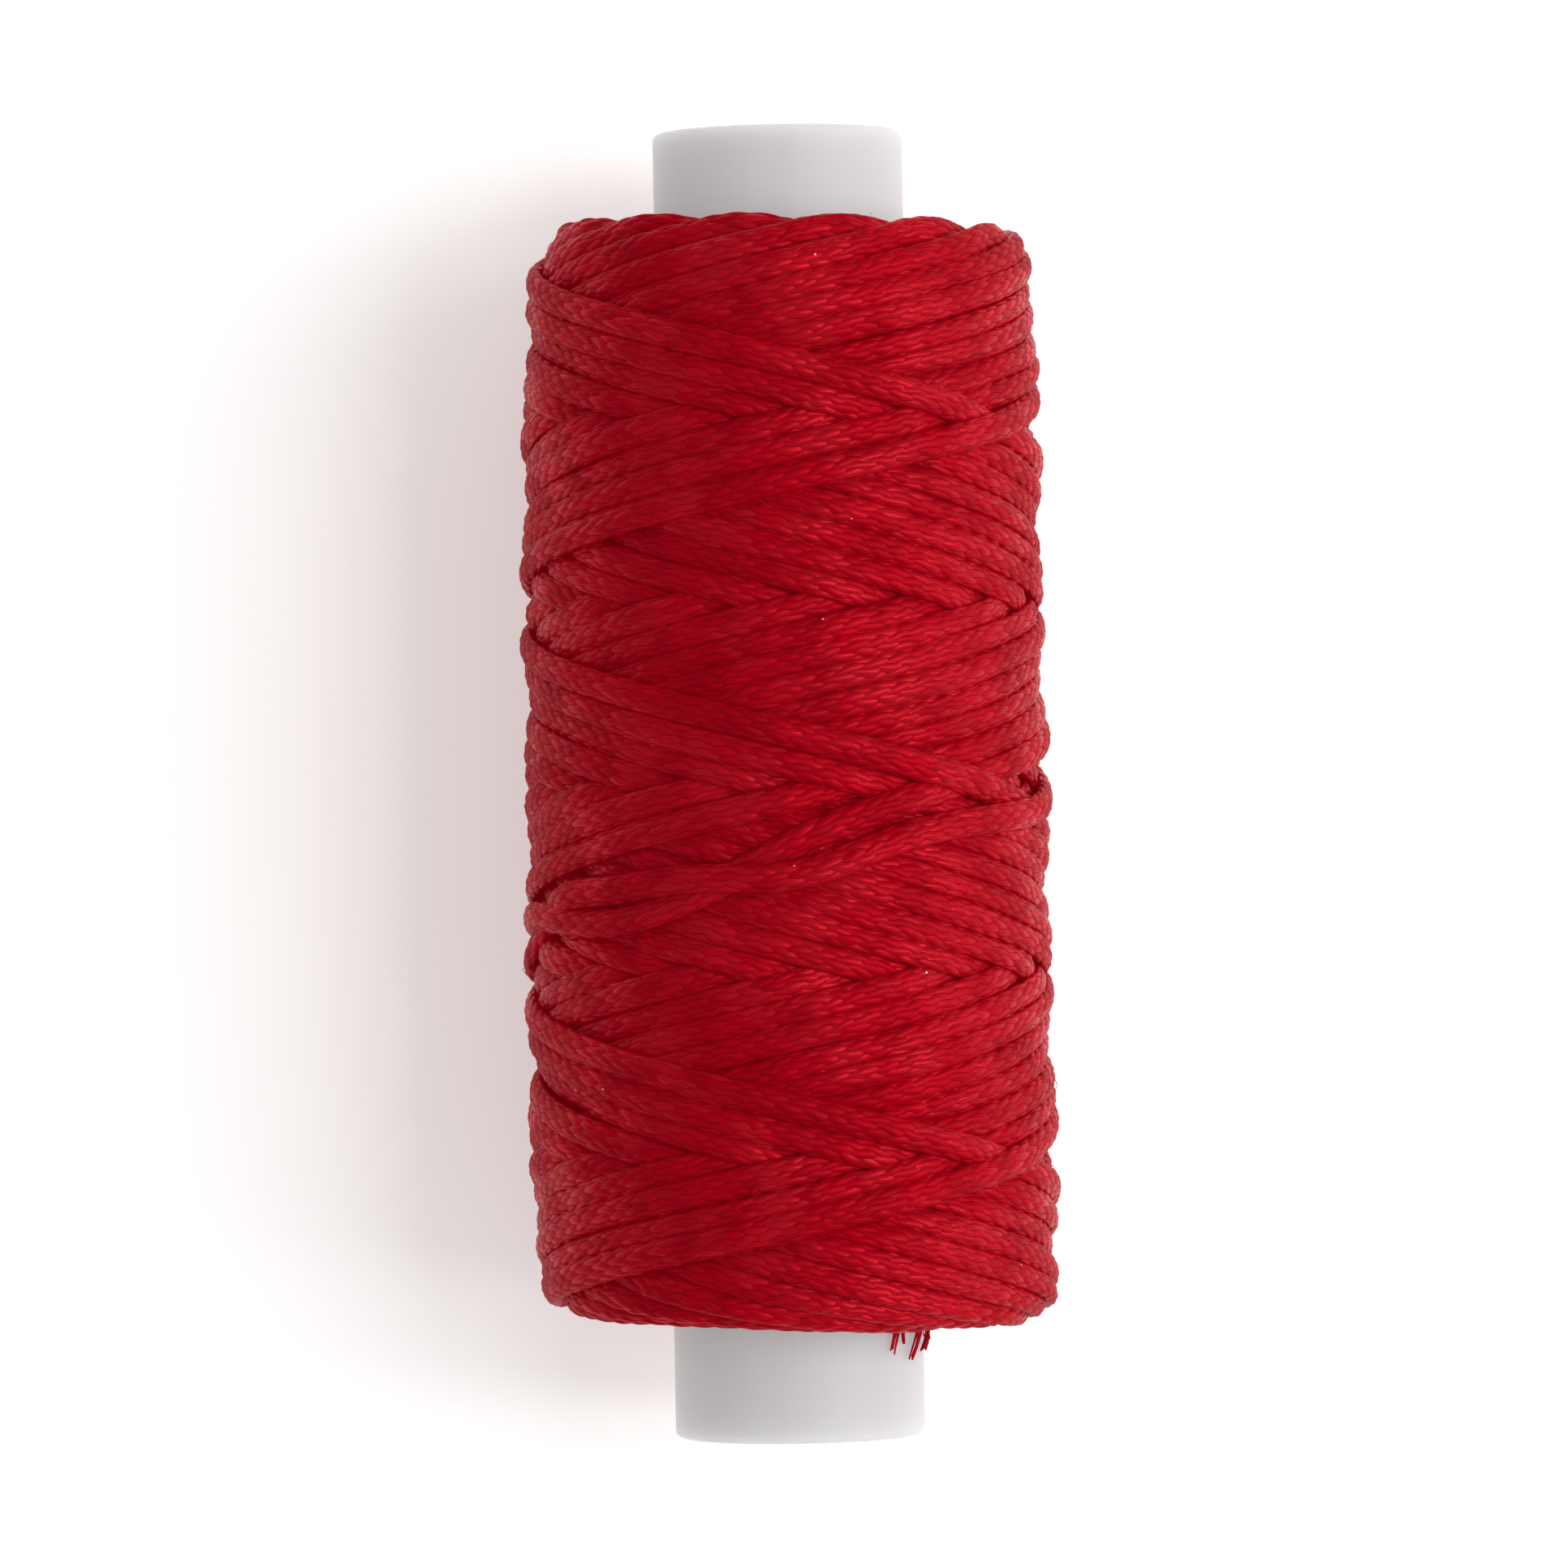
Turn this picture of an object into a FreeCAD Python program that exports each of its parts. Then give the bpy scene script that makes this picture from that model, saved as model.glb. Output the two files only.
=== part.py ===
import FreeCAD, Part
import Sketcher
import os

# Waxed thread spool: a plain plastic tube with one long braided cord cross-wound on it.
# The spool lies on its side. Its axis runs along Y, and the floor is Z = 0.

DIMENSIONS = [
    ("tube_outer_diameter", 12.0),
    ("tube_bore_diameter", 9.0),
    ("tube_length", 62.6),
    ("tube_edge_radius", 0.35),
    ("bore_chamfer", 0.3),
    ("winding_diameter", 25.0),
    ("winding_low_end", -25.7),
    ("winding_high_end", 26.8),
    ("shoulder_radius", 2.2),
    ("tuft_thickness", 0.45),
    ("tuft_width_angle", 6.0),
    ("left_tuft_length", 1.0),
    ("left_tuft_angle", 38.0),
    ("right_tuft_length", 1.25),
    ("right_tuft_angle", 16.0),
]

doc = FreeCAD.newDocument("thread_spool")


def make_sheet():
    """The driving dimensions, in millimetres and degrees."""
    sheet = doc.addObject("Spreadsheet::Sheet", "Dimensions")
    for row, (alias, value) in enumerate(DIMENSIONS, start=1):
        sheet.set(f"A{row}", alias)
        sheet.set(f"B{row}", str(value))
        sheet.setAlias(f"B{row}", alias)
    doc.recompute()
    return sheet


def origin_plane(body, role):
    """One of the body's own origin planes, by its role."""
    return next(f for f in body.Origin.OriginFeatures if f.Role == role)


def new_body(name):
    """A body whose axis of revolution is lifted until the winding rests on the floor."""
    body = doc.addObject("PartDesign::Body", name)
    body.Label = name
    body.setExpression("Placement.Base.z", "Dimensions.winding_diameter / 2")
    return body


def ring_profile(body, name, inner, outer, low, high):
    """A rectangle between two radii and two heights along the axis, bound to the sheet."""
    sketch = body.newObject("Sketcher::SketchObject", name)
    sketch.AttachmentSupport = [(origin_plane(body, "XY_Plane"), "")]
    sketch.MapMode = "FlatFace"
    corners = [(1, -1), (2, -1), (2, 1), (1, 1)]
    for i, (x, y) in enumerate(corners):
        next_x, next_y = corners[(i + 1) % 4]
        start = FreeCAD.Vector(x, y, 0)
        end = FreeCAD.Vector(next_x, next_y, 0)
        sketch.addGeometry(Part.LineSegment(start, end), False)
    for i in range(4):
        sketch.addConstraint(Sketcher.Constraint("Coincident", i, 2, (i + 1) % 4, 1))
    for i in (0, 2):
        sketch.addConstraint(Sketcher.Constraint("Horizontal", i))
        sketch.addConstraint(Sketcher.Constraint("Vertical", i + 1))
    bound = [
        ("DistanceX", 0, 1, 1.0, "inner", inner),
        ("DistanceX", 0, 2, 2.0, "outer", outer),
        ("DistanceY", 0, 1, -1.0, "low", low),
        ("DistanceY", 2, 1, 1.0, "high", high),
    ]
    for kind, line, point, value, label, formula in bound:
        index = sketch.addConstraint(Sketcher.Constraint(kind, -1, 1, line, point, value))
        sketch.renameConstraint(index, label)
        sketch.setExpression(f"Constraints.{label}", formula)
    doc.recompute()
    return sketch


def revolve(body, sketch, name):
    """The profile turned once around the body's own Y axis."""
    turned = body.newObject("PartDesign::Revolution", name)
    turned.Profile = sketch
    turned.ReferenceAxis = (sketch, ["V_Axis"])
    turned.Angle = 360
    body.Tip = turned
    doc.recompute()
    return turned


def end_edges(feature, radius):
    """The names of the circular edges of that radius."""
    names = []
    for i, edge in enumerate(feature.Shape.Edges, start=1):
        is_circle = edge.Curve.TypeId == "Part::GeomCircle"
        if is_circle and abs(edge.Curve.Radius - radius) < 1e-6:
            names.append(f"Edge{i}")
    return names


def round_edges(body, feature, radius, name, formula):
    """Fillets the circular edges of that radius."""
    fillet = body.newObject("PartDesign::Fillet", name)
    fillet.Base = (feature, end_edges(feature, radius))
    fillet.setExpression("Radius", formula)
    body.Tip = fillet
    doc.recompute()


def soften_bore(body, feature, radius, name, formula):
    """Chamfers the circular edges of that radius."""
    chamfer = body.newObject("PartDesign::Chamfer", name)
    chamfer.Base = (feature, end_edges(feature, radius))
    chamfer.setExpression("Size", formula)
    body.Tip = chamfer
    doc.recompute()


def make_core_tube(sheet):
    """The white plastic tube: one extruded length, cut square, its edges softened."""
    body = new_body("core_tube")
    sketch = ring_profile(
        body,
        "tube_wall",
        "Dimensions.tube_bore_diameter / 2",
        "Dimensions.tube_outer_diameter / 2",
        "-Dimensions.tube_length / 2",
        "Dimensions.tube_length / 2",
    )
    wall = revolve(body, sketch, "tube_turned")
    outer_radius = sheet.tube_outer_diameter / 2
    round_edges(body, wall, outer_radius, "tube_edges", "Dimensions.tube_edge_radius")
    bore_radius = sheet.tube_bore_diameter / 2
    soften_bore(body, body.Tip, bore_radius, "bore_edges", "Dimensions.bore_chamfer")
    return body


def make_thread_winding(sheet):
    """The outer shape of the wound cord: a barrel around the tube with round shoulders."""
    body = new_body("thread_winding")
    sketch = ring_profile(
        body,
        "winding_section",
        "Dimensions.tube_outer_diameter / 2",
        "Dimensions.winding_diameter / 2",
        "Dimensions.winding_low_end",
        "Dimensions.winding_high_end",
    )
    barrel = revolve(body, sketch, "winding_turned")
    outer_radius = sheet.winding_diameter / 2
    round_edges(body, barrel, outer_radius, "winding_shoulders", "Dimensions.shoulder_radius")
    return body


def tuft_sector(name, radius_formula, side):
    """A slice of a cylinder around the spool's axis, below the winding's low end."""
    sector = doc.addObject("Part::Cylinder", name)
    sector.setExpression("Radius", radius_formula)
    sector.setExpression("Height", f"Dimensions.{side}_tuft_length")
    sector.setExpression("Angle", "Dimensions.tuft_width_angle")
    return sector


def make_tuft(sheet, side):
    """One frayed yarn of the cord's start, flat on the tube where it leaves the winding."""
    outer_formula = "Dimensions.tube_outer_diameter / 2 + Dimensions.tuft_thickness"
    outer = tuft_sector(f"{side}_tuft_outer", outer_formula, side)
    inner = tuft_sector(f"{side}_tuft_inner", "Dimensions.tube_outer_diameter / 2", side)
    name = f"thread_start_{side}"
    tuft = doc.addObject("Part::Cut", name)
    tuft.Label = name
    tuft.Base = outer
    tuft.Tool = inner
    lay_along_axis = FreeCAD.Rotation(FreeCAD.Vector(1, 0, 0), 90)
    turn = FreeCAD.Rotation(FreeCAD.Vector(0, -1, 0), sheet.get(f"{side}_tuft_angle"))
    base = FreeCAD.Vector(0, sheet.winding_low_end, sheet.winding_diameter / 2)
    tuft.Placement = FreeCAD.Placement(base, turn * lay_along_axis)
    return tuft


def check(pieces):
    """Stops if a piece is broken, and prints what each one measures."""
    doc.recompute()
    for item in doc.Objects:
        if "Invalid" in item.State or "Error" in item.State:
            raise RuntimeError(f"{item.Label} did not compute: {item.State}")
    for piece in pieces:
        if piece.Shape.isNull() or not piece.Shape.isValid():
            raise RuntimeError(f"{piece.Label} has no valid shape")
        box = piece.Shape.BoundBox
        print(piece.Label, round(piece.Shape.Volume, 2), box)


def main():
    sheet = make_sheet()
    pieces = [make_core_tube(sheet), make_thread_winding(sheet)]
    pieces += [make_tuft(sheet, "left"), make_tuft(sheet, "right")]
    check(pieces)
    os.makedirs("parts", exist_ok=True)
    for piece in pieces:
        piece.Shape.exportStep(f"parts/{piece.Label}.step")


main()
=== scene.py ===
"""A spool of waxed thread: a bare-ended plastic tube wound with one length of flat braided cord."""
import bpy
import numpy as np
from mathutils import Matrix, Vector


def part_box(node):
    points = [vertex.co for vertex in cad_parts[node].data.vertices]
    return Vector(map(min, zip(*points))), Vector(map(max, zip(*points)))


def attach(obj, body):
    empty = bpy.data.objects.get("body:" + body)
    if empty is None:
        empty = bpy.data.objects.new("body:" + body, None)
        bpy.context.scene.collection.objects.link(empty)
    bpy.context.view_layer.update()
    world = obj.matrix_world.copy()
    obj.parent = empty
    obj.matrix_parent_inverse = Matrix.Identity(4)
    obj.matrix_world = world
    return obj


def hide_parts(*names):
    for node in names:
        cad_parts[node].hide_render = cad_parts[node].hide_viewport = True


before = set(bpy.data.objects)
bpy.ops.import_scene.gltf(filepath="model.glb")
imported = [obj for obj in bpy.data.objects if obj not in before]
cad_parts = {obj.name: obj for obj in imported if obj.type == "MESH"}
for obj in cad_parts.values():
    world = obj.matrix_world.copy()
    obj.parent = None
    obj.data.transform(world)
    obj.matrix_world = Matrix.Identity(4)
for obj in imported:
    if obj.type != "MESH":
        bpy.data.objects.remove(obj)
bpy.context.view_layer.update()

MM = 0.001
TURN = 2 * np.pi


# ---------------------------------------------------------------- sizes, in mm, read from the frame

def node_box(node):
    """Lowest and highest corner of a CAD node, in mm."""
    low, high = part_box(node)
    return np.array(low) / MM, np.array(high) / MM


tube_low, tube_high = node_box("core_tube")
wound_low, wound_high = node_box("thread_winding")
TUBE_R = (tube_high[2] - tube_low[2]) / 2
AXIS_Z = (wound_high[2] + wound_low[2]) / 2
WINDING_R = (wound_high[2] - wound_low[2]) / 2

# The cord: a braid that its wax and its neighbours hold flat. Its cross-section is an oval, which
# is an ellipse at an exponent of 2.
CORD_WIDTH = 1.42
CORD_THICKNESS = 0.84
CORD_EXPONENT = 2.0

# The ends of the winding, along the middle of the cord that lies there.
EDGE_ROOM = 0.72
TOP_END = wound_high[1] - EDGE_ROOM
LOW_END = wound_low[1] + EDGE_ROOM

# How it is wound: the guide runs to and fro at a steady pace and rounds off its turning points.
# One double traverse takes 6 turns and a little more, so each new turn lies SHIFT beside the last.
# A tip is where a turning point would be without its rounding, which is a length of time in turns.
PITCH = 17.45
SHIFT = 1.25
TURNS_PER_DOUBLE = 6
LOW_ROUNDING = 0.373
LOW_TIP = LOW_END - PITCH * LOW_ROUNDING / 4
TOP_TIP = LOW_TIP + (TURNS_PER_DOUBLE * PITCH + SHIFT) / 2
TOP_ROUNDING = 4 * (TOP_TIP - TOP_END) / PITCH
STEPS_PER_TURN = 180
STEP = TURN / STEPS_PER_TURN

# The traverses: the early ones fall short of the tips by up to EARLY_INSET, the last ones are regular.
# The newest downward one first comes round to the -X side at NEWEST_DOWN_Y.
DOUBLES = 49
REGULAR_DOUBLES = 16
EARLY_INSET = 2.2
NEWEST_DOWN_Y = 24.1

# The cord starts DWELL turns before START_ANGLE, at the low end, and ends CUT_SHORT turns before the
# last tip.
START_ANGLE = np.radians(58.0)
DWELL = 0.2
CUT_SHORT = 0.16

# How the turns lie askew, and how the cord wanders: steps between changes, and size in mm.
SKEW = -0.3
WANDER = ((45, 0.05), (500, 0.04))

# How a run beds down on the ones below: the share of their lean that it takes and the most it leans,
# how far it sinks in, and the share of the gap under it that it closes, of a gap up to MAX_GAP.
# SMOOTHING is a number of steps.
LEANING = 0.7
MAX_LEAN = 0.5
BEDDING = 0.15
SETTLING = 0.6
MAX_GAP = 1.5
SMOOTHING = 5

# How the winding's outside is evened. It is taken as CREST above its mean over about EVENING mm. The
# cord keeps its thickness down to FIRM_DEPTH and is squeezed below that, with FIRM_FADE between the
# two. What stands out by more than PROUD is pressed in by the share PRESSED_IN of the excess.
# MAX_GROWTH is the most that the evening tilts the cord.
EVENING = 0.8
CREST = 0.2
FIRM_DEPTH = 2.0
FIRM_FADE = 0.6
PROUD = 0.15
PRESSED_IN = 0.75
MAX_GROWTH = 0.35

# The outside's shape: a slight cone, fuller on the left, with shoulders that drop towards the ends.
# BULGE has a place along the axis and a height, SHOULDER a distance from the end and a drop, and the
# right side goes without the shares SQUARE_TOP and SQUARE_LOW of that drop.
EXTRA_RADIUS = 0.03
FLARE = 0.006
BULGE = ((-26.0, 0.05), (-18.0, 0.26), (16.0, 0.22), (20.0, 0.0))
SHOULDER = ((0.0, 1.1), (1.65, 0.35), (3.3, 0.05), (5.0, 0.0))
SQUARE_TOP = 0.25
SQUARE_LOW = 0.85

# Where the last turns have slipped out of line: turn, spread in turns, and shift in mm.
SLIPS = (
    (-1.85, 0.070, -2.65),
    (4.00, 0.035, -1.35),
    (4.08, 0.030, 0.60),
    (4.255, 0.040, -1.10),
    (4.50, 0.100, -1.75),
)

# The stretch of turns that is laid early, before the traverse that turn TUCKED_UNDER is in, so that
# later runs cover it.
TUCKED = (3.96, 4.08)
TUCKED_UNDER = -2.0


# ---------------------------------------------------------------- camera

CAMERA_LENS = 191.0
CAMERA_DISTANCE = 400.0
CAMERA_OFF_CENTRE = -0.234
CAMERA_ROLL = np.radians(-1.05)


def make_camera():
    """Looks straight down at the spool, from CAMERA_DISTANCE mm above its axis."""
    camera = bpy.data.cameras.new("camera")
    camera.sensor_width = 36.0
    camera.lens = CAMERA_LENS
    camera.clip_start = 0.01
    camera.clip_end = 10.0
    holder = bpy.data.objects.new("camera", camera)
    holder.location = (CAMERA_OFF_CENTRE * MM, 0.0, (AXIS_Z + CAMERA_DISTANCE) * MM)
    holder.rotation_euler = (0.0, 0.0, CAMERA_ROLL)
    bpy.context.scene.collection.objects.link(holder)
    bpy.context.scene.camera = holder


make_camera()


# ---------------------------------------------------------------- winding the cord

def smooth_noise(rng, count, every, size):
    """A slowly changing random value for each of count steps."""
    knots = rng.normal(0.0, size, int(count / every) + 3)
    return np.interp(np.arange(count) / every, np.arange(len(knots)), knots)


def turning_points(rng):
    """Times in turns and heights of the guide's turning points, from the first low one to the last
    top one."""
    heights = []
    for k in range(2 * DOUBLES):
        steady = k >= 2 * (DOUBLES - REGULAR_DOUBLES)
        inset = 0.0 if steady else EARLY_INSET * rng.random() ** 1.5
        heights.append(TOP_TIP - inset if k % 2 else LOW_TIP + inset)
    heights = np.array(heights)
    return np.r_[0, np.cumsum(np.abs(np.diff(heights)) / PITCH)], heights


def guide_height(t, times, heights):
    """Height of the guide at the times given, rounded off at its turning points."""
    after = np.clip(np.searchsorted(times, t), 1, len(times) - 1)
    knot = np.where(t - times[after - 1] <= times[after] - t, after - 1, after)
    away = np.abs(t - times[knot])
    top = knot % 2 == 1
    rounding = np.where(top, TOP_ROUNDING, LOW_ROUNDING)
    run = np.where(away < rounding / 2, rounding / 4 + away ** 2 / rounding, away)
    y = heights[knot] + np.where(top, -1, 1) * PITCH * run
    return np.where(t < 0, LOW_END, y)


def guide_path(rng):
    """Angle, height, turn and traverse at every step of the winding.
    Turn 0 is where the newest downward traverse first comes round to the -X side."""
    times, heights = turning_points(rng)
    crossing = times[-3] + (heights[-3] - NEWEST_DOWN_Y) / PITCH
    lead = np.mod(-0.25 - START_ANGLE / TURN - crossing, 1.0) + DWELL
    t = np.arange(-lead, times[-1] - CUT_SHORT, 1.0 / STEPS_PER_TURN)
    turn = t - crossing
    angle = turn * TURN - np.pi / 2
    y = guide_height(t, times, heights) + SKEW * np.sin(angle)
    y += sum(smooth_noise(rng, len(t), every, size) for every, size in WANDER)
    for centre, spread, shift in SLIPS:
        y += shift * np.exp(-((turn - centre) / spread) ** 2 / 2)
    traverse = np.clip(np.searchsorted(times, t, side="right") - 1, 0, None)
    return angle, y, turn, traverse


# The height map of the winding's outside: cells round it and along it.
MAP_ANGLES = 720
MAP_STEP = 0.1
MAP_LOW = -28.0
MAP_ROWS = 570


def cells(angle, y):
    """Cells of the height map under the points given."""
    column = np.mod(np.round(angle / TURN * MAP_ANGLES).astype(int), MAP_ANGLES)
    row = np.clip(((y - MAP_LOW) / MAP_STEP).astype(int), 0, MAP_ROWS - 1)
    return column, row


def box_filter(values, width):
    """Running mean over an odd number of steps."""
    padded = np.pad(values, width // 2, mode="edge")
    return np.convolve(padded, np.ones(width) / width, "valid")


def pulled_taut(height, radius, step, reach=6.0):
    """The lowest line over the heights that a taut cord can follow."""
    half = int(reach / step)
    sag = (np.arange(-half, half + 1) * step) ** 2 / (2 * radius)
    windows = np.lib.stride_tricks.sliding_window_view
    raised = (windows(np.pad(height, half, mode="edge"), 2 * half + 1) - sag).max(1)
    lowered = (windows(np.pad(raised, half, mode="edge"), 2 * half + 1) + sag).min(1)
    return box_filter(lowered, SMOOTHING)


def laying_order(turn, traverse):
    """Runs of steps in the order they are laid: one traverse after another, but for the tucked
    stretch."""
    order = traverse.astype(float)
    tucked = (turn > TUCKED[0]) & (turn < TUCKED[1])
    order[tucked] = traverse[np.searchsorted(turn, TUCKED_UNDER)] - 0.5
    begins = np.r_[0, np.flatnonzero(np.diff(order)) + 1]
    ends = np.r_[begins[1:], len(turn)]
    return [(begins[i], ends[i]) for i in np.argsort(order[begins], kind="stable")]


def lay_run(a, y, surface):
    """Rests one run of cord on the surface.
    Gives its underside's radius, its lean, its slope, and the mean radius that it was worked out at."""
    probes = np.linspace(-0.45, 0.45, 9) * CORD_WIDTH
    base = surface[cells(a, y)].mean() + CORD_THICKNESS / 2
    slope = np.arctan(np.gradient(y) / (base * STEP))
    cos, sin = np.cos(slope), np.sin(slope)
    around = a[:, None] - sin[:, None] * probes / base
    along = y[:, None] + cos[:, None] * probes
    under = surface[cells(around, along)]
    lean = ((under - under.mean(1, keepdims=True)) * probes).sum(1) / (probes ** 2).sum()
    lean = box_filter(np.clip(LEANING * lean, -MAX_LEAN, MAX_LEAN), 7)
    below = np.sort(under - lean[:, None] * probes, 1)
    rest = pulled_taut(below[:, -2] - BEDDING, base / cos.mean() ** 2, base * STEP / cos.mean())
    rest -= SETTLING * box_filter(np.clip(rest - below.mean(1), 0, MAX_GAP), 9)
    return rest, lean, slope, base


def lay_cord(angle, y, runs):
    """Lays the cord on the tube run by run.
    Gives its radius and lean, the surface and the run on top of it, and the run of each step."""
    radius, tilt = np.zeros(len(angle)), np.zeros(len(angle))
    surface = np.full((MAP_ANGLES, MAP_ROWS), TUBE_R)
    owner = np.full((MAP_ANGLES, MAP_ROWS), -1)
    run_of = np.zeros(len(angle), int)
    across = np.linspace(-0.5, 0.5, 25) * CORD_WIDTH
    x = np.abs(across / (CORD_WIDTH / 2)) ** CORD_EXPONENT
    profile = CORD_THICKNESS * (0.5 + 0.5 * (1 - x).clip(0) ** (1 / CORD_EXPONENT))
    for number, (begin, end) in enumerate(runs):
        a, h = angle[begin:end], y[begin:end]
        rest, lean, slope, base = lay_run(a, h, surface)
        radius[begin:end] = rest + CORD_THICKNESS / 2
        tilt[begin:end] = lean
        run_of[begin:end] = number
        fine = np.arange(0, end - begin - 0.99, 0.25)
        a, h, rest, lean, slope = (
            np.interp(fine, np.arange(end - begin), v)[:, None] for v in (a, h, rest, lean, slope)
        )
        where = cells(a - np.sin(slope) * across / base, h + np.cos(slope) * across)
        raised = surface.copy()
        np.maximum.at(raised, where, rest + lean * across + profile)
        owner[raised > surface] = number
        surface = raised
    return box_filter(radius, SMOOTHING), box_filter(tilt, SMOOTHING), surface, owner, run_of


rng = np.random.default_rng(7)
angle, height, turn, traverse = guide_path(rng)
radius, tilt, surface, owner, run_of = lay_cord(angle, height, laying_order(turn, traverse))


def shoulder_drop(angle, y):
    """How far the winding's outside falls short of its full radius, less so on the side that is
    wound square."""
    at_top = TOP_END - y < y - LOW_END
    room = np.minimum(TOP_END - y, y - LOW_END)
    square = np.where(at_top, SQUARE_TOP, SQUARE_LOW) * np.clip(np.sin(angle), 0, 1)
    return np.interp(room, *zip(*SHOULDER)) * (1 - square)


def blurred(field, sigma):
    """A height map smoothed over sigma mm each way, round the winding and along it."""
    doubled = np.concatenate([field, field[:, ::-1]], axis=1)
    round_rate = np.fft.fftfreq(doubled.shape[0], TURN * WINDING_R / MAP_ANGLES)[:, None]
    along_rate = np.fft.fftfreq(doubled.shape[1], MAP_STEP)[None, :]
    keep = np.exp(-2 * (np.pi * sigma) ** 2 * (round_rate ** 2 + along_rate ** 2))
    return np.real(np.fft.ifft2(np.fft.fft2(doubled) * keep))[:, :field.shape[1]]


def evened(angle, y, radius, tilt):
    """Squeezes the winding so that its outside is a plain cylinder with rounded ends.
    The outer layers keep their thickness and the inner ones take up the difference.
    Gives the cord's new radius and lean, and the share of its thickness that is left."""
    rows = MAP_LOW + (np.arange(MAP_ROWS) + 0.5) * MAP_STEP
    wound = np.flatnonzero((rows > LOW_END - 0.3) & (rows < TOP_END + 0.3))
    outside = blurred(surface[:, np.clip(np.arange(MAP_ROWS), wound[0], wound[-1])], EVENING) + CREST
    columns = np.arange(MAP_ANGLES)[:, None] / MAP_ANGLES * TURN
    bulge = np.clip(-np.sin(columns), 0, 1) * np.interp(rows, *zip(*BULGE))
    target = WINDING_R + EXTRA_RADIUS - FLARE * rows + bulge - shoulder_drop(columns, rows)
    growth = np.clip(np.gradient(target - outside, MAP_STEP, axis=1), -MAX_GROWTH, MAX_GROWTH)
    here = cells(angle, y)
    outside, growth, target = outside[here], growth[here], target[here]
    squeeze = (target - FIRM_DEPTH - TUBE_R) / (outside - FIRM_DEPTH - TUBE_R)
    firm = np.clip((radius - outside + FIRM_DEPTH) / FIRM_FADE + 0.5, 0, 1)
    inner = TUBE_R + (radius - TUBE_R) * squeeze
    moved = np.where(radius > outside - FIRM_DEPTH, radius + target - outside, inner)
    moved -= PRESSED_IN * np.maximum(moved + CORD_THICKNESS / 2 - target - PROUD, 0)
    lean = box_filter(tilt + growth * firm, SMOOTHING)
    return box_filter(moved, SMOOTHING), lean, firm + (1 - firm) * squeeze


def seen_from_outside():
    """Steps whose cord is the topmost somewhere across its width."""
    slope = np.arctan(np.gradient(height) / (radius * STEP))
    seen = np.zeros(len(angle), bool)
    for probe in np.linspace(-0.47, 0.47, 11) * CORD_WIDTH:
        where = cells(angle - np.sin(slope) * probe / radius, height + np.cos(slope) * probe)
        seen |= owner[where] == run_of
    return seen


# A map of each end of the winding: sectors round it and rings out from the axis. Cord shows there
# if it is within END_MARGIN of the outermost, and within END_DEPTH of the end.
END_SECTORS = 180
END_RINGS = 80
END_RING_WIDTH = 0.3
END_MARGIN = 0.5
END_DEPTH = 4.5


def seen_from_ends():
    """Steps whose cord is the outermost at its angle and radius, at either end."""
    sector = np.mod(np.round(angle / TURN * END_SECTORS).astype(int), END_SECTORS)
    ring = np.clip((radius / END_RING_WIDTH).astype(int), 0, END_RINGS - 1)
    seen = np.zeros(len(angle), bool)
    for reach, end in ((height, TOP_END), (-height, -LOW_END)):
        furthest = np.full((END_SECTORS, END_RINGS), reach.min())
        np.maximum.at(furthest, (sector, ring), reach)
        seen |= (reach > furthest[sector, ring] - END_MARGIN) & (reach > end - END_DEPTH)
    return seen


def widened(flags, by):
    """Flags spread to their neighbours on both sides."""
    return np.convolve(flags.astype(int), np.ones(2 * by + 1, int), "same") > 0


in_sight = widened(seen_from_outside() | seen_from_ends(), 5)
radius, tilt, scale = evened(angle, height, radius, tilt)
thickness = CORD_THICKNESS * scale


# ---------------------------------------------------------------- the cord's shape

LEAST_HEIGHT = 0.33


def held_off_floor(angle, radius):
    """Radius limited so that the middle of the cord is LEAST_HEIGHT off the floor or more."""
    down = np.maximum(-np.cos(angle), 0.2)
    return np.minimum(radius, (AXIS_Z - LEAST_HEIGHT) / down)


def path_points(a, y, r):
    """Points in the row frame, in mm."""
    return np.stack([r * np.sin(a), y, AXIS_Z + r * np.cos(a)], -1)


def unit(v):
    """Vectors scaled to a length of 1."""
    return v / np.maximum(np.linalg.norm(v, axis=-1, keepdims=True), 1e-9)


def cord_frames(points, a, tilt):
    """Directions across the cord and out of its flat face, for every point of its path."""
    tangent = unit(np.gradient(points, axis=0))
    outward = np.stack([np.sin(a), np.zeros_like(a), np.cos(a)], -1)
    outward = unit(outward - (outward * tangent).sum(-1, keepdims=True) * tangent)
    across = np.cross(outward, tangent)
    lean = tilt[:, None]
    return unit(across + lean * outward), unit(outward - lean * across)


def oval(angles):
    """The cord's cross-section, 1 wide and 1 high either way from its middle."""
    power = 2 / CORD_EXPONENT
    x = np.sign(np.cos(angles)) * np.abs(np.cos(angles)) ** power
    z = np.sign(np.sin(angles)) * np.abs(np.sin(angles)) ** power
    return x, z


def tube_faces(rings, around):
    """Quads between rings of points, closed round."""
    ring = np.arange(rings - 1)[:, None] * around
    i = np.arange(around)
    j = (i + 1) % around
    quads = np.stack([ring + i, ring + j, ring + around + j, ring + around + i], -1)
    return quads.reshape(-1, 4)


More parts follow.
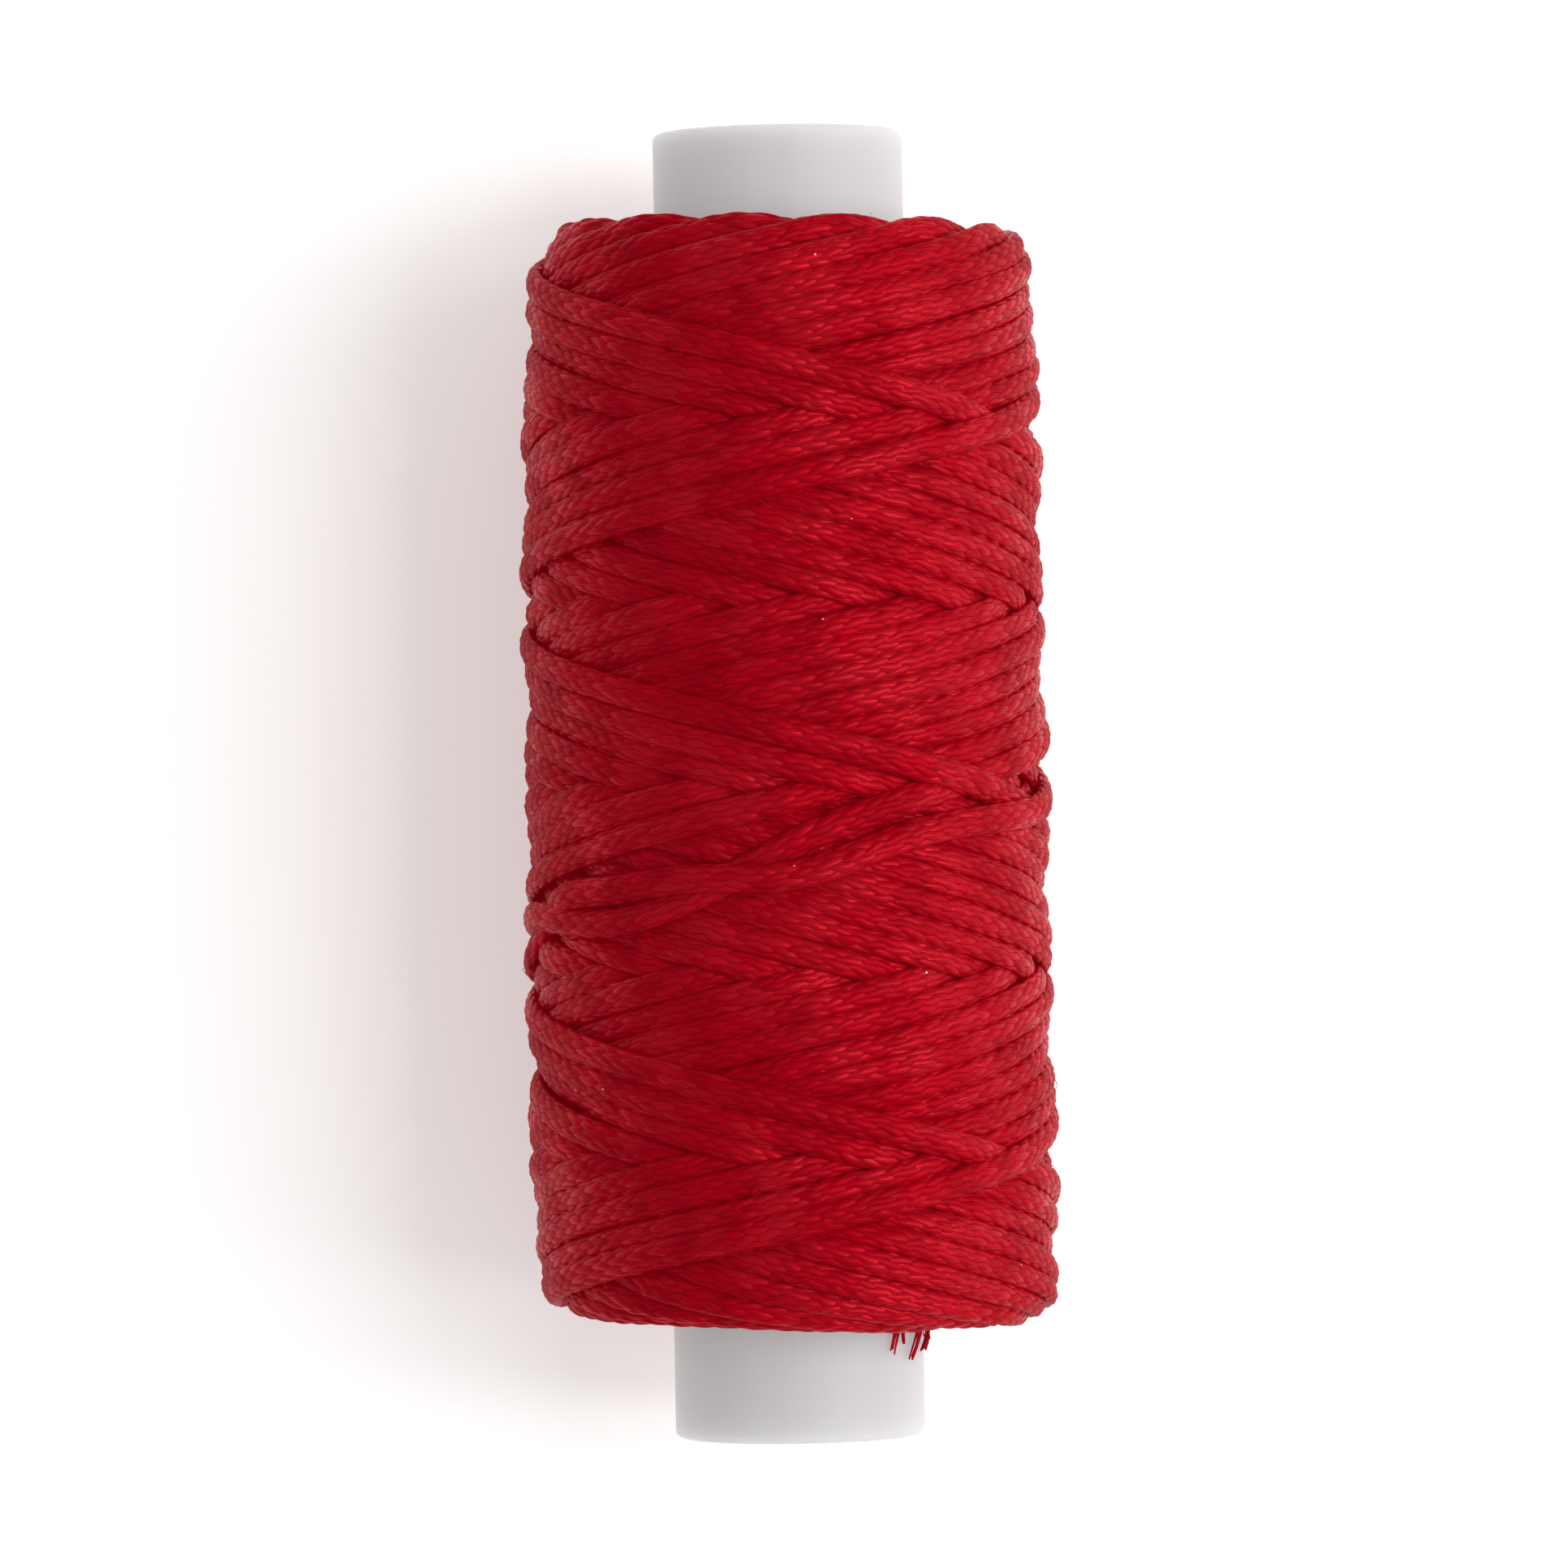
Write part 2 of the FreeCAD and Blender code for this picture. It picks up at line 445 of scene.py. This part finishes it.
def new_mesh(name, points_mm, faces, uvs=None):
    """A smooth-shaded mesh object from points in mm and arrays of faces, all of one size in each array.
    Its UV map gives each corner its place in the braid, or puts them all on the crown of one stitch."""
    corners = np.concatenate([f.ravel() for f in faces])
    sizes = np.concatenate([np.full(len(f), f.shape[1]) for f in faces])
    mesh = bpy.data.meshes.new(name)
    mesh.vertices.add(len(points_mm))
    mesh.vertices.foreach_set("co", (points_mm * MM).ravel())
    mesh.loops.add(len(corners))
    mesh.loops.foreach_set("vertex_index", corners)
    mesh.polygons.add(len(sizes))
    mesh.polygons.foreach_set("loop_start", np.r_[0, np.cumsum(sizes)[:-1]])
    mesh.polygons.foreach_set("use_smooth", np.ones(len(sizes), bool))
    mesh.update(calc_edges=True)
    uvs = np.full((len(corners), 2), 0.5) if uvs is None else uvs
    mesh.uv_layers.new(name="braid").data.foreach_set("uv", uvs.ravel())
    mesh.validate()
    obj = bpy.data.objects.new(name, mesh)
    bpy.context.scene.collection.objects.link(obj)
    return obj


laid = path_points(angle, height, held_off_floor(angle, radius))
run_length = np.r_[0, np.cumsum(np.linalg.norm(np.diff(laid, axis=0), axis=1))]
CORD_LENGTH = run_length[-1]


# The plain cord: distance from ring to ring, points round a ring, and its size against the real
# cross-section where it lies inside the braid and where it is hidden.
COARSE_STEP = 1.75
COARSE_SIDES = 8
SIZE_IN_BRAID = 0.6
SIZE_HIDDEN = 1.1


def coarse_cord():
    """The whole cord from its start to its end, plain, and slimmer wherever its braid is made too."""
    s = np.linspace(0, CORD_LENGTH, int(CORD_LENGTH / COARSE_STEP))
    a, y, r, lean, thick = (
        np.interp(s, run_length, v) for v in (angle, height, radius, tilt, thickness)
    )
    hidden = np.interp(s, run_length, 1.0 - widened(in_sight, 4))
    size = np.interp(hidden, [0, 1], [SIZE_IN_BRAID, SIZE_HIDDEN])[:, None, None]
    points = path_points(a, y, held_off_floor(a, r))
    across, out = cord_frames(points, a, lean)
    x, z = oval((np.arange(COARSE_SIDES) + 0.5) / COARSE_SIDES * TURN)
    side = across[:, None] * (x * CORD_WIDTH / 2)[:, None]
    ring = side + out[:, None] * (z[:, None] * thick[:, None, None] / 2)
    skin = (points[:, None] + ring * size).reshape(-1, 3)
    first = np.arange(COARSE_SIDES)
    ends = np.array([first[::-1], first + len(skin) - COARSE_SIDES])
    return new_mesh("waxed_thread", skin, [tube_faces(len(s), COARSE_SIDES), ends]), points


# ---------------------------------------------------------------- the braid

# Its stitches: how many columns of them go round the cord, the length of one, and its shape.
COLUMNS = 10
STITCH = 1.2
STITCH_SLOPE = 0.3
STITCH_ROUND = 1.9
STITCH_TAPER = 0.95
STITCH_POWER = 1.8

# Its mesh: the relief's depth and the level that stays on the oval, points round a ring, and the
# distance from ring to ring.
BRAID_DEPTH = 0.06
BRAID_LEVEL = 0.7
RING = 34
BRAID_STEP = 0.13
BRAID_OBJECTS = 20

# How uneven it is: waves round the cord, waves in a row of stitches, and size in stitches.
UNEVEN = ((1, 0.31, 0.08), (3, 0.17, 0.06), (2, 0.43, 0.05))

# How it twists along the cord: steps between changes, and size in columns per step.
TWIST_EVERY = 400
TWIST = 0.0015


def uneven(column, row):
    """Columns and rows shifted a little to and fro, so that no two stitches are quite alike."""
    for waves, rate, size in UNEVEN:
        phase = (column * waves / COLUMNS + row * rate) * TURN
        column, row = column + size * np.sin(phase), row + size * np.cos(phase)
    return column, row


def braid_relief(column, row):
    """Height from 0 to 1 of a braid of almond-shaped stitches, staggered from column to column."""
    index = np.floor(column)
    relief = np.zeros(np.broadcast(column, row).shape)
    for beside in (-1, 0, 1):
        odd = np.mod(index + beside, 2)
        across = column - index - 0.5 - beside
        q = row + 0.5 * odd + (1 - 2 * odd) * STITCH_SLOPE * across
        along = 2 * (q - np.floor(q)) - 1
        stitch = 1 - STITCH_ROUND * across ** 2 - STITCH_TAPER * np.abs(along) ** STITCH_POWER
        relief = np.maximum(relief, stitch)
    return relief


def ring_layout():
    """Cross-section points, their outward directions and the braid column at each.
    They are bunched on the outer face, and few are underneath."""
    fine = np.linspace(-TURN / 4, TURN * 3 / 4, 2001)
    x, z = oval(fine)
    lengths = np.hypot(np.diff(x * CORD_WIDTH / 2), np.diff(z * CORD_THICKNESS / 2))
    round_length = np.r_[0, np.cumsum(lengths)]
    weight = np.r_[0, np.cumsum(lengths * np.where(z[1:] > -0.2, 1.0, 0.2))]
    at = np.interp(np.arange(RING) / RING * weight[-1], weight, fine)
    x, z = oval(at)
    out_x = np.sign(x) * np.abs(x) ** (CORD_EXPONENT - 1) / CORD_WIDTH
    out_z = np.sign(z) * np.abs(z) ** (CORD_EXPONENT - 1) / CORD_THICKNESS
    size = np.hypot(out_x, out_z)
    column = np.interp(at, fine, round_length) / round_length[-1] * COLUMNS
    return x, z, out_x / size, out_z / size, column


def braided_length(begin, end, drift):
    """One visible stretch of the braid between two steps of the path.
    Gives its points, the column and row of each, and the number of its rings. The path is worked out
    one ring further at both ends, so that stretches that meet do so without a step."""
    length = run_length[end - 1] - run_length[begin]
    rings = max(4, int(length / BRAID_STEP))
    s = run_length[begin] + length / (rings - 1) * np.arange(-1, rings + 1)
    a, y, r, lean, thick, twist = (
        np.interp(s, run_length, v) for v in (angle, height, radius, tilt, thickness, drift)
    )
    points = path_points(a, y, held_off_floor(a, r))
    across, out = cord_frames(points, a, lean)
    s, thick, twist, points, across, out = (v[1:-1] for v in (s, thick, twist, points, across, out))
    x, z, out_x, out_z, column = ring_layout()
    columns, rows = uneven(column[None, :] + twist[:, None], s[:, None] / STITCH)
    lift = BRAID_DEPTH * (braid_relief(columns, rows) - BRAID_LEVEL)
    side = x * CORD_WIDTH / 2 + out_x * lift
    up = z * thick[:, None] / 2 + out_z * lift
    skin = points[:, None] + across[:, None] * side[..., None] + out[:, None] * up[..., None]
    points = np.concatenate([skin.reshape(-1, 3), skin[0], skin[-1], points[[0, -1]]])
    places = np.stack([columns, rows], -1).reshape(-1, 2)
    return points, np.concatenate([places, np.zeros((len(points) - len(places), 2))]), rings


def braid_faces(rings):
    """Quads along a braided length, and the triangles that close its ends, with points of their own."""
    i = np.arange(RING)
    j = (i + 1) % RING
    first, last, centre = rings * RING, (rings + 1) * RING, (rings + 2) * RING
    first_cap = np.stack([np.full(RING, centre), first + j, first + i], -1)
    last_cap = np.stack([np.full(RING, centre + 1), last + i, last + j], -1)
    return tube_faces(rings, RING), np.concatenate([first_cap, last_cap])


def stretches(flags):
    """Pairs of first and past-the-last step for each run of set flags."""
    change = np.flatnonzero(np.diff(np.r_[0, flags.astype(int), 0]))
    return list(zip(change[::2], change[1::2]))


def braid_pieces():
    """The visible braid in the order it is wound, shared out evenly between BRAID_OBJECTS objects."""
    drift = np.cumsum(smooth_noise(rng, len(angle), TWIST_EVERY, TWIST))
    visible = np.cumsum(np.diff(run_length, prepend=0.0) * in_sight)
    number = np.minimum(visible / visible[-1] * BRAID_OBJECTS, BRAID_OBJECTS - 1).astype(int)
    following = np.r_[in_sight[1:], False]
    pieces = []
    for k in range(BRAID_OBJECTS):
        parts = stretches(in_sight & (number == k))
        lengths = [braided_length(begin, end + following[end - 1], drift) for begin, end in parts]
        pieces.append(new_braid(f"thread_braid_{k:02d}", lengths))
    return pieces


def new_braid(name, lengths):
    """One object of braided lengths, with each corner's column and row in the braid as its UV."""
    quads, caps, offset = [], [], 0
    for points, _, rings in lengths:
        sides, ends = braid_faces(rings)
        quads.append(sides + offset)
        caps.append(ends + offset)
        offset += len(points)
    quads, caps = np.concatenate(quads), np.concatenate(caps)
    points = np.concatenate([length[0] for length in lengths])
    places = np.concatenate([length[1] for length in lengths])
    corners = places[quads]
    wraps = corners[:, 1, 0] < corners[:, 0, 0] - COLUMNS / 2
    corners[wraps, 1:3, 0] += COLUMNS
    uvs = np.concatenate([corners.reshape(-1, 2), places[caps].reshape(-1, 2)])
    return new_mesh(name, points, [quads, caps], uvs)


# ---------------------------------------------------------------- frayed ends and loose fibres

# Each wisp has a place to one side, a lean, a bow and a length in mm, and a number of fibres.
LEFT_WISPS = ((0.0, -0.25, 0.05, 1.4, 5), (0.2, 0.1, 0.0, 1.0, 3))
RIGHT_WISPS = ((-0.25, -0.3, 0.2, 1.8, 5), (0.0, 0.05, 0.4, 1.45, 5), (0.62, 0.0, 0.0, 0.6, 3))

# How far inside the winding the wisps start, and how far apart their fibres are there.
WISP_ROOT = 0.8
WISP_SPREAD = 0.09

FIBRE_SIDES = 5
SHORT_FIBRES = 70


def filament(points, thickness):
    """Skin points and faces of one round fibre along points in mm, thinning to its far end."""
    count = len(points)
    tangent = unit(np.gradient(points, axis=0))
    side = unit(np.cross(tangent, [0.3, 0.2, 1.0]))
    lift = np.cross(side, tangent)
    turn = (np.arange(FIBRE_SIDES) / FIBRE_SIDES * TURN)[None, :, None]
    width = thickness / 2 * np.linspace(1.0, 0.5, count)[:, None, None]
    skin = points[:, None] + width * (np.cos(turn) * side[:, None] + np.sin(turn) * lift[:, None])
    first = np.arange(FIBRE_SIDES)
    ends = np.array([first[::-1], first + (count - 1) * FIBRE_SIDES])
    return skin.reshape(-1, 3), tube_faces(count, FIBRE_SIDES), ends


def fibre_object(name, lines):
    """One object of fibres, each given by its points and its thickness."""
    skins, sides, ends, offset = [], [], [], 0
    for points, thickness in lines:
        skin, quads, caps = filament(points, thickness)
        skins.append(skin)
        sides.append(quads + offset)
        ends.append(caps + offset)
        offset += len(skin)
    return new_mesh(name, np.concatenate(skins), [np.concatenate(sides), np.concatenate(ends)])


def frayed_end(name, node, wisps):
    """Part of the cord's frayed start, coming out from under the winding and lying on the tube.
    Known fault: a point further out than the tube's side has no height on it, so the root below gives
    no number there, and the mesh's own check then moves the point to the origin."""
    low, high = node_box(node)
    lines = []
    for place, lean, bow, length, fibres in wisps:
        for k in range(fibres):
            along = np.linspace(0, 1, 16)
            spread = ((k + 0.5) / fibres - 0.5) * WISP_SPREAD * fibres * (1 - 0.55 * along)
            stray = rng.normal(0, 0.05) * along ** 2 + 0.02 * np.sin(along * 8 + rng.uniform(0, TURN))
            x = (low[0] + high[0]) / 2 + place + spread + stray
            x += lean * along ** 1.5
            x += bow * np.sin(along * np.pi)
            y = wound_low[1] + WISP_ROOT - (length * rng.uniform(0.85, 1.1) + WISP_ROOT) * along
            off_tube = 0.10 + 0.6 * (1 - along) ** 2 + rng.uniform(0, 0.2)
            z = AXIS_Z + np.sqrt((TUBE_R + off_tube) ** 2 - x ** 2)
            lines.append((np.stack([x, y, z], -1), rng.uniform(0.15, 0.22)))
    return fibre_object(name, lines)


def outer_skin():
    """Radius of the winding's outside over the cells of the height map."""
    slope = np.arctan(np.gradient(height) / (radius * STEP))
    skin = np.full((MAP_ANGLES, MAP_ROWS), TUBE_R)
    for probe in np.linspace(-0.45, 0.45, 11):
        around = angle - np.sin(slope) * probe * CORD_WIDTH / radius
        along = height + np.cos(slope) * probe * CORD_WIDTH
        top = radius + tilt * probe * CORD_WIDTH + thickness * np.sqrt(0.25 - probe ** 2)
        np.maximum.at(skin, cells(around, along), top)
    return skin


def curled_fibre(skin, angle_0, y_0, length, heading, curls, lift):
    """A loose fibre that lies on the winding's outside and sticks up in its middle.
    It starts with a heading, and turns through a number of curls along its length."""
    along = np.linspace(0, 1, 24)
    way = heading + curls * TURN * along ** 1.3
    a = angle_0 + np.cumsum(np.cos(way)) * length / len(along) / WINDING_R
    y = y_0 + np.cumsum(np.sin(way)) * length / len(along)
    r = pulled_taut(skin[cells(a, y)], WINDING_R, length / len(along), 1.0)
    return path_points(a, y, r - 0.02 + lift * np.sin(along * np.pi))


def loose_fibres():
    """Two longer curled fibres and many short ones that stick out of the wax."""
    skin = outer_skin()
    lines = [
        (curled_fibre(skin, -0.06, 12.9, 2.6, 2.2, 0.7, 0.25), 0.08),
        (curled_fibre(skin, -0.17, -19.2, 2.4, 1.2, -0.6, 0.3), 0.08),
    ]
    for _ in range(SHORT_FIBRES):
        place = rng.uniform(0, TURN), rng.uniform(LOW_END + 2, TOP_END - 2)
        shape = rng.uniform(0.4, 1.3), rng.uniform(0, TURN), rng.normal(0, 0.3), rng.uniform(0, 0.15)
        lines.append((curled_fibre(skin, *place, *shape), rng.uniform(0.03, 0.05)))
    return fibre_object("loose_fibres", lines)


cord, cord_line = coarse_cord()
braids = braid_pieces()
left_fray = frayed_end("frayed_start_left", "thread_start_left", LEFT_WISPS)
right_fray = frayed_end("frayed_start_right", "thread_start_right", RIGHT_WISPS)
thread_pieces = [cord, loose_fibres(), *braids, left_fray, right_fray]
for piece in thread_pieces:
    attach(piece, "root")
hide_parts("thread_start_left")
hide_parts("thread_start_right")
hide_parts("thread_winding")


# ---------------------------------------------------------------- materials

class Nodes:
    """A node material, with short ways to add and join its nodes."""

    def __init__(self, name):
        self.material = bpy.data.materials.new(name)
        self.material.use_nodes = True
        self.tree = self.material.node_tree

    def put(self, node, key, value):
        """Gives a node's input a value or another node's output."""
        if isinstance(value, bpy.types.NodeSocket):
            self.tree.links.new(value, node.inputs[key])
        else:
            node.inputs[key].default_value = value

    def add(self, kind, inputs=(), **settings):
        """A node of that kind with its settings and inputs."""
        node = self.tree.nodes.new("ShaderNode" + kind)
        for name, value in settings.items():
            setattr(node, name, value)
        for key, value in dict(inputs).items():
            self.put(node, key, value)
        return node

    def math(self, operation, *values):
        """The result of a Math node."""
        return self.add("Math", enumerate(values), operation=operation).outputs[0]

    def noise(self, place, scale, detail):
        """Noise from 0 to 1."""
        return self.add("TexNoise", {"Vector": place, "Scale": scale, "Detail": detail}).outputs["Fac"]

    def ramp(self, value, low, high):
        """From 0 to 1, smoothly, as the value goes from low to high."""
        inputs = {"Value": value, "From Min": low, "From Max": high}
        return self.add("MapRange", inputs, interpolation_type="SMOOTHSTEP").outputs["Result"]

    def between(self, factor, low, high):
        """From low to high as the factor goes from 0 to 1."""
        return self.add("MapRange", {"Value": factor, "To Min": low, "To Max": high}).outputs["Result"]

    def blend(self, factor, first, second):
        """A blend of two values."""
        return self.add("Mix", {0: factor, 2: first, 3: second}).outputs[0]

    def mix(self, factor, first, second):
        """A blend of two colours."""
        return self.add("Mix", {0: factor, 6: first, 7: second}, data_type="RGBA").outputs[2]

    def bump(self, height, strength, depth, onto=None):
        """A normal for a height field, its depth in mm, over another normal if there is one."""
        inputs = {"Height": height, "Strength": strength, "Distance": depth * MM}
        if onto is not None:
            inputs["Normal"] = onto
        return self.add("Bump", inputs).outputs["Normal"]

    def surface(self, inputs):
        """Sets the inputs of the material's shader."""
        for key, value in inputs.items():
            self.put(self.tree.nodes["Principled BSDF"], key, value)


def stitch_nodes(n, column, row, beside):
    """Relief and random number of the stitch in the point's own column or the one beside it."""
    index = n.math("ADD", n.math("FLOOR", column), beside)
    odd = n.math("FLOORED_MODULO", index, 2.0)
    across = n.math("SUBTRACT", n.math("SUBTRACT", column, index), 0.5)
    way = n.math("MULTIPLY_ADD", odd, -2.0 * STITCH_SLOPE, STITCH_SLOPE)
    q = n.math("ADD", n.math("MULTIPLY_ADD", odd, 0.5, row), n.math("MULTIPLY", way, across))
    along = n.math("ABSOLUTE", n.math("MULTIPLY_ADD", n.math("FRACT", q), 2.0, -1.0))
    squared = n.math("POWER", n.math("ABSOLUTE", across), 2.0)
    rounded = n.math("MULTIPLY_ADD", squared, -STITCH_ROUND, 1.0)
    relief = n.math("MULTIPLY_ADD", n.math("POWER", along, STITCH_POWER), -STITCH_TAPER, rounded)
    own_column = n.math("FLOORED_MODULO", index, float(COLUMNS))
    stitch = n.add("CombineXYZ", {"X": own_column, "Y": n.math("FLOOR", q)})
    return relief, n.add("TexWhiteNoise", {"Vector": stitch.outputs["Vector"]}).outputs["Value"]


def braid_nodes(n):
    """The stitch under each point: its relief, how far it stands above the next one, and a random
    number."""
    place = n.add("SeparateXYZ", {"Vector": n.add("UVMap", uv_map="braid").outputs["UV"]})
    column, row = place.outputs["X"], place.outputs["Y"]
    top, chance = stitch_nodes(n, column, row, 0.0)
    second = -1.0
    for beside in (-1.0, 1.0):
        relief, other = stitch_nodes(n, column, row, beside)
        higher = n.math("GREATER_THAN", relief, top)
        gain = n.math("MULTIPLY", higher, n.math("SUBTRACT", other, chance))
        chance = n.math("ADD", chance, gain)
        second = n.math("MAXIMUM", second, n.math("MINIMUM", top, relief))
        top = n.math("MAXIMUM", top, relief)
    return top, n.math("SUBTRACT", top, second), chance


def speck_nodes(n, place, spacing, size, share):
    """1 inside small round specks, which have a spacing and a size in mm; a share of places has one."""
    cell = n.add("TexVoronoi", {"Vector": place, "Scale": 1.0 / (spacing * MM)})
    near = n.math("LESS_THAN", cell.outputs["Distance"], size / spacing)
    draw = n.add("SeparateXYZ", {"Vector": cell.outputs["Color"]}).outputs["X"]
    return n.math("MULTIPLY", near, n.math("LESS_THAN", draw, share))


DARK_RED = (0.24, 0.0, 0.004, 1)
RED = (0.35, 0.0, 0.006, 1)
WAX_FILM = (0.44, 0.01, 0.018, 1)
# Painted shade: the dark colour laid into the creases between stitches.
PAINTED_SEAM_SHADE = (0.07, 0.0, 0.002, 1)
WAX_CRUMB = (0.75, 0.5, 0.45, 1)
MILKY = (0.34, 0.33, 0.335, 1)
MILKY_PALE = (0.38, 0.375, 0.38, 1)
DUST = (0.16, 0.15, 0.15, 1)
PAPER = (0.9, 0.885, 0.88, 1)


def thread_material():
    """Deep red waxed polyester: plump stitches with painted shade in the thin dark seams between them,
    with patches where the film of wax is thicker, paler and glossier, and a faint painted red glow."""
    n = Nodes("waxed_thread")
    relief, apart, chance = braid_nodes(n)
    place = n.add("TexCoord").outputs["Object"]
    patches = n.noise(place, 300.0, 6.0)
    depth = n.noise(place, 500.0, 4.0)
    fibres = n.noise(place, 9000.0, 2.0)
    filmed = n.ramp(n.blend(0.15, patches, chance), 0.42, 0.62)
    body = n.mix(n.blend(0.2, n.ramp(depth, 0.3, 0.7), chance), DARK_RED, RED)
    waxed = n.mix(n.math("MULTIPLY", filmed, 0.5), body, WAX_FILM)
    # Painted shade: where stitches meet, the colour turns to the dark seam colour.
    whole = n.ramp(apart, 0.02, 0.28)
    colour = n.mix(whole, PAINTED_SEAM_SHADE, waxed)
    raised = n.math("MULTIPLY", relief, n.math("MULTIPLY_ADD", chance, 0.4, 0.8))
    seams = n.bump(raised, 0.6, 0.065)
    n.surface({
        "Base Color": n.mix(speck_nodes(n, place, 1.5, 0.05, 0.2), colour, WAX_CRUMB),
        "Normal": n.bump(fibres, 0.2, 0.02, seams),
        "Metallic": 0.22,
        "Roughness": n.blend(whole, 0.8, n.between(filmed, 0.5, 0.3)),
        "Specular IOR Level": 0.06,
        "Specular Tint": (1.0, 0.6, 0.62, 1),
        # Painted glow: the thread gives off a faint red light of its own, which lifts its deep shade.
        "Emission Color": (1.0, 0.0, 0.03, 1),
        "Emission Strength": 0.065,
    })
    return n.material


def tube_material():
    """Milky white polyethylene, with faint marks along it from moulding and a little dust, and a faint
    painted white glow that evens out its shading.
    """
    n = Nodes("tube_plastic")
    place = n.add("TexCoord").outputs["Object"]
    along = n.add("Mapping", {"Vector": place, "Scale": (1.0, 0.06, 1.0)}).outputs["Vector"]
    streaks = n.noise(along, 900.0, 5.0)
    cloud = n.noise(place, 120.0, 3.0)
    body = n.mix(n.blend(0.5, streaks, cloud), MILKY, MILKY_PALE)
    n.surface({
        "Base Color": n.mix(speck_nodes(n, place, 4.0, 0.07, 0.25), body, DUST),
        "Normal": n.bump(streaks, 0.4, 0.03),
        "Roughness": n.between(cloud, 0.42, 0.56),
        "Specular IOR Level": 0.15,
        # Painted glow: the tube gives off a faint white light of its own, which evens out its shading.
        "Emission Color": (1.0, 0.98, 0.98, 1),
        "Emission Strength": 0.2,
        "Subsurface Weight": 1.0,
        "Subsurface Radius": (0.005, 0.005, 0.005),
        "Subsurface Scale": 1.0,
    })
    return n.material


thread = thread_material()
for piece in thread_pieces:
    piece.data.materials.append(thread)
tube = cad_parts["core_tube"]
tube.data.materials.clear()
tube.data.materials.append(tube_material())


# ---------------------------------------------------------------- floor and light

FLOOR_REACH = 1.5


def make_floor():
    """A plain white sheet under the spool, FLOOR_REACH metres to each side."""
    mesh = bpy.data.meshes.new("floor")
    corners = [(x * FLOOR_REACH, y * FLOOR_REACH, 0) for x, y in ((-1, -1), (1, -1), (1, 1), (-1, 1))]
    mesh.from_pydata(corners, [], [(0, 1, 2, 3)])
    floor = bpy.data.objects.new("floor", mesh)
    bpy.context.scene.collection.objects.link(floor)
    paper = Nodes("floor")
    paper.surface({
        "Base Color": PAPER,
        "Roughness": 0.8,
        "Emission Color": (1.0, 0.98, 0.975, 1),
        "Emission Strength": 0.33,
    })
    mesh.materials.append(paper.material)


def area_light(name, azimuth, elevation, distance, size, power):
    """A soft rectangular light, aimed at the spool's middle. Azimuth 0 is on the +X side, the
    distance and the size are in metres, and the power is in watts."""
    light = bpy.data.lights.new(name, "AREA")
    light.shape = "RECTANGLE"
    light.size, light.size_y = size
    light.energy = power
    holder = bpy.data.objects.new(name, light)
    a, e = np.radians(azimuth), np.radians(elevation)
    place = Vector((np.cos(a) * np.cos(e), np.sin(a) * np.cos(e), np.sin(e))) * distance
    holder.location = place + Vector((0, 0, AXIS_Z * MM))
    holder.rotation_euler = (-place).to_track_quat("-Z", "Y").to_euler()
    bpy.context.scene.collection.objects.link(holder)


def white_world(strength):
    """Even white light from all round, which doesn't show in glossy surfaces."""
    world = bpy.data.worlds.new("studio")
    world.use_nodes = True
    background = world.node_tree.nodes["Background"]
    background.inputs["Color"].default_value = (1, 1, 1, 1)
    background.inputs["Strength"].default_value = strength
    world.cycles_visibility.glossy = False
    bpy.context.scene.world = world


make_floor()
area_light("key", azimuth=3.0, elevation=43.0, distance=0.8, size=(0.45, 0.8), power=5.9)
white_world(0.55)
bpy.context.scene.view_settings.view_transform = "Standard"
